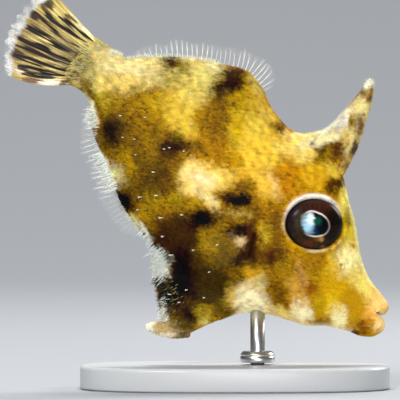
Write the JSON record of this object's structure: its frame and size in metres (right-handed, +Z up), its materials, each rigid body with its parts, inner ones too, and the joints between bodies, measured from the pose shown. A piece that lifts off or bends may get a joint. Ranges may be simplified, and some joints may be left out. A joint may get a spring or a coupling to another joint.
{
  "type": "aiptasia-eating filefish display model",
  "caption": "Life-size display model of a young mottled filefish swimming head down, with a spine on its brow, a skin flap under its belly and a fan tail, held by a rod on a flat base.",
  "frame": {"origin": "middle of the stand base's underside", "axes": "+X towards the fish's snout in plan, +Y to the fish's left, +Z up; the snout points 40 degrees down"},
  "size_m": [0.0425, 0.021, 0.0441],
  "materials": {
    "skin": "velvety mottled skin, golden yellow with olive brown blotches",
    "lips": "smooth peach-orange skin",
    "eyes": "wet dark brown iris and blue-green pupil",
    "spine": "rough bone under thin skin",
    "fins": "clear web with pale rays",
    "tail": "clear web with dark streaks",
    "stand": "satin pale grey",
    "rod": "brushed"
  },
  "bodies": {
    "root": {"head": "skin", "trunk": "skin", "tail_stalk": "skin", "ventral_flap": "skin", "upper_lip": "lips", "lower_lip": "lips", "eye_right": "eyes", "eye_left": "eyes", "dorsal_spine": "spine", "dorsal_spine_web": "fins", "pelvic_scales": "spine", "soft_dorsal_fin": "fins", "anal_fin": "fins", "pectoral_fin_right": "fins", "pectoral_fin_left": "fins", "tail_fin": "tail", "stand_base": "stand", "stand_rod": "rod", "stand_collar": "rod"}
  },
  "joints": []
}
